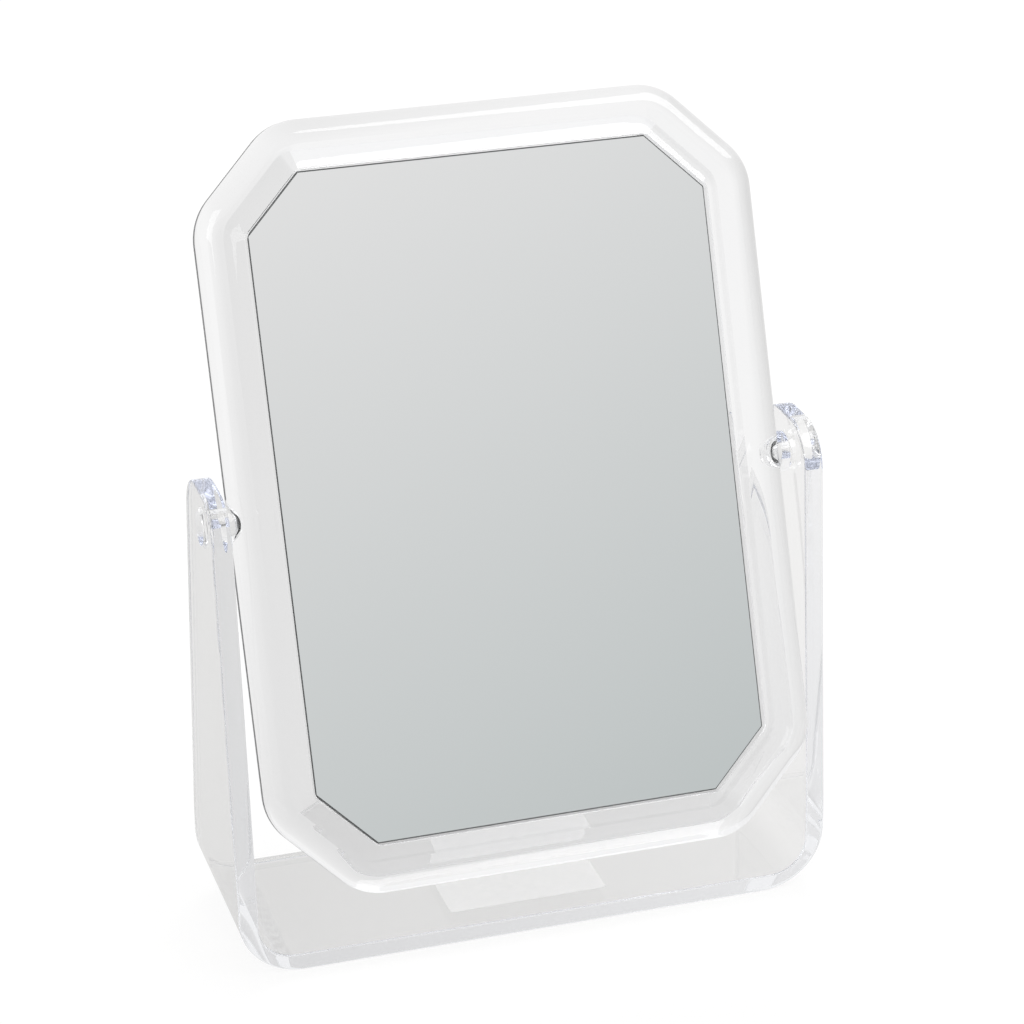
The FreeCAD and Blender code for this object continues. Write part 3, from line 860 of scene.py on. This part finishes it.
class MIRROR_OT_small_parts(bpy.types.Operator):
    """Gives the label, the tape and the foam their finishes"""

    bl_idname = "makeup_mirror.small_parts"
    bl_label = "Small parts"

    def execute(self, context):
        tone = colours()
        low, high = (np.array(corner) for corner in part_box("base_label"))
        film = film_skin(low, high, tone.film_corner, tone.film_bevel, tone.film_lift)
        piece = make_object("label_film", [film], label_film("label_film", tone.film))
        dress(piece, "stand", "label_film", "base_label")
        adhesive = foam("adhesive", tone.adhesive)
        for name in ("front_plate_tape", "rear_plate_foam"):
            slots = frame["nodes"][name].data.materials
            slots.clear()
            slots.append(adhesive)
        return {"FINISHED"}


def panel_between(name, corner, first, second, material):
    """A flat card corner + a first + b second with a and b from 0 to 1."""
    share = np.linspace(0, 1, CARD_SAMPLES)
    grid = np.array(corner) + share[:, None, None] * np.array(first) + share[None, :, None] * np.array(second)
    card = make_object(name, [quads(grid)], material)
    return card


class MIRROR_OT_stage(bpy.types.Operator):
    """Sets the floor, the grey card, the light and the camera"""

    bl_idname = "makeup_mirror.stage"
    bl_label = "Stage"

    def execute(self, context):
        scene = context.scene
        stage = scene.mirror_stage
        scene.view_settings.view_transform = "Standard"
        scene.cycles.max_bounces = LIGHT_BOUNCES
        scene.cycles.glossy_bounces = LIGHT_BOUNCES
        scene.cycles.transmission_bounces = LIGHT_BOUNCES
        self.make_room(scene, stage)
        self.make_floor(stage)
        self.make_card(stage)
        self.make_lamps()
        self.make_camera(scene, stage)
        return {"FINISHED"}

    def make_room(self, scene, stage):
        scene.world = bpy.data.worlds.new("pale_room")
        scene.world.use_nodes = True
        nodes = Nodes(scene.world.node_tree)
        strength = stage.surround + (1 - stage.surround) * nodes.seen()
        glow = nodes.add("ShaderNodeBackground", {}, {"Color": WHITE, "Strength": strength})
        nodes.add("ShaderNodeOutputWorld", {}, {"Surface": glow})

    def make_floor(self, stage):
        material, nodes = new_material("pale_floor")
        grain = nodes.noise(FLOOR_GRAIN_SCALE, detail=3.0)
        matt = nodes.add("ShaderNodeBsdfPrincipled", {}, {
            "Base Color": nodes.blend(grain, stage.floor, shaded(stage.floor, 0.98)),
            "Roughness": 0.9,
        })
        # Painted shade: clear plastic and mirrors see the floor glow grey, darker on the left and lighter on
        # the right, where the camera sees it white.
        painted_floor_shade = nodes.blend(nodes.ramp(nodes.axis("X"), *FLOOR_SHADE_STRETCH), stage.floor_shade_left, stage.floor_shade_right)
        glow = nodes.add("ShaderNodeEmission", {}, {
            "Color": nodes.blend(nodes.ray("Is Camera Ray"), painted_floor_shade, WHITE), "Strength": 1.0})
        mixed = nodes.add("ShaderNodeMixShader", {}, {0: nodes.seen() * FLOOR_GLOW, 1: matt, 2: glow})
        nodes.add("ShaderNodeOutputMaterial", {}, {"Surface": mixed})
        corner = (-FLOOR_REACH, -FLOOR_REACH, -stage.floor_gap)
        panel_between("floor", corner, (2 * FLOOR_REACH, 0, 0), (0, 2 * FLOOR_REACH, 0), material)

    def make_card(self, stage):
        material, nodes = new_material("grey_card")
        # The card glows with painted light and shade, lighter towards the top and left, darker towards the
        # bottom and right; only mirrors and clear plastic show it, as a painted reflection of the room.
        slant = nodes.ramp(nodes.axis("X") * CARD_SLANT - nodes.axis("Z"), *CARD_STRETCH)
        glow = nodes.add("ShaderNodeEmission", {}, {
            "Color": nodes.blend(slant, stage.card_light, stage.card_dark), "Strength": 1.0})
        nodes.add("ShaderNodeOutputMaterial", {}, {"Surface": glow})
        card = panel_between("grey_card", CARD_CORNER, CARD_ACROSS, CARD_UP, material)
        card.visible_camera = False
        card.visible_diffuse = False
        card.visible_transmission = False
        card.visible_shadow = False

    def make_lamps(self):
        for name, place, side, power, mirrored in LAMPS:
            lamp = bpy.data.lights.new(name, "AREA")
            lamp.size = side
            lamp.energy = power
            holder = bpy.data.objects.new(name, lamp)
            holder.location = place
            aim = Vector(LAMP_AIM) - Vector(place)
            holder.rotation_euler = aim.to_track_quat("-Z", "Y").to_euler()
            holder.visible_glossy = mirrored
            holder.visible_transmission = mirrored
            bpy.context.collection.objects.link(holder)

    def make_camera(self, scene, stage):
        turn, lift = stage.azimuth, stage.elevation
        back = Vector((
            -math.sin(turn) * math.cos(lift), -math.cos(turn) * math.cos(lift), math.sin(lift)))
        right = (-back).cross(Vector((0, 0, 1))).normalized()
        up = right.cross(-back)
        rolled = Matrix((
            right * math.cos(stage.roll) + up * math.sin(stage.roll),
            up * math.cos(stage.roll) - right * math.sin(stage.roll),
            back)).transposed()
        lens = bpy.data.cameras.new("photo_lens")
        lens.sensor_width = SENSOR_WIDTH
        lens.lens = stage.focal / IMAGE_SIDE * SENSOR_WIDTH
        lens.shift_x = (IMAGE_SIDE / 2 - stage.axis_across) / IMAGE_SIDE
        lens.shift_y = (stage.axis_down - IMAGE_SIDE / 2) / IMAGE_SIDE
        camera = bpy.data.objects.new("photo_camera", lens)
        camera.matrix_world = Matrix.Translation(
            Vector(stage.target) + back * stage.distance) @ rolled.to_4x4()
        scene.collection.objects.link(camera)
        scene.camera = camera


class MIRROR_PT_panel(bpy.types.Panel):
    """Lists the steps that build the mirror"""

    bl_idname = "MIRROR_PT_panel"
    bl_label = "Makeup mirror"
    bl_space_type = "VIEW_3D"
    bl_region_type = "UI"
    bl_category = "Makeup mirror"

    def draw(self, context):
        for step in STEPS:
            self.layout.operator(step.bl_idname)


STEPS = (
    MIRROR_OT_clear_stand, MIRROR_OT_clear_frame, MIRROR_OT_plates, MIRROR_OT_small_parts, MIRROR_OT_stage)
GROUPS = {
    "mirror_stand": StandSizes,
    "mirror_frame": FrameSizes,
    "mirror_colours": FinishColours,
    "mirror_stage": StageSettings,
}


def register():
    for each in (*GROUPS.values(), *STEPS, MIRROR_PT_panel):
        bpy.utils.register_class(each)
    for name, group in GROUPS.items():
        setattr(bpy.types.Scene, name, bpy.props.PointerProperty(type=group))


def unregister():
    for name in GROUPS:
        delattr(bpy.types.Scene, name)
    for each in (MIRROR_PT_panel, *reversed(STEPS), *reversed(GROUPS.values())):
        bpy.utils.unregister_class(each)


def main():
    register()
    bpy.ops.makeup_mirror.clear_stand()
    bpy.ops.makeup_mirror.clear_frame()
    bpy.ops.makeup_mirror.plates()
    bpy.ops.makeup_mirror.small_parts()
    bpy.ops.makeup_mirror.stage()


if __name__ == "__main__":
    main()
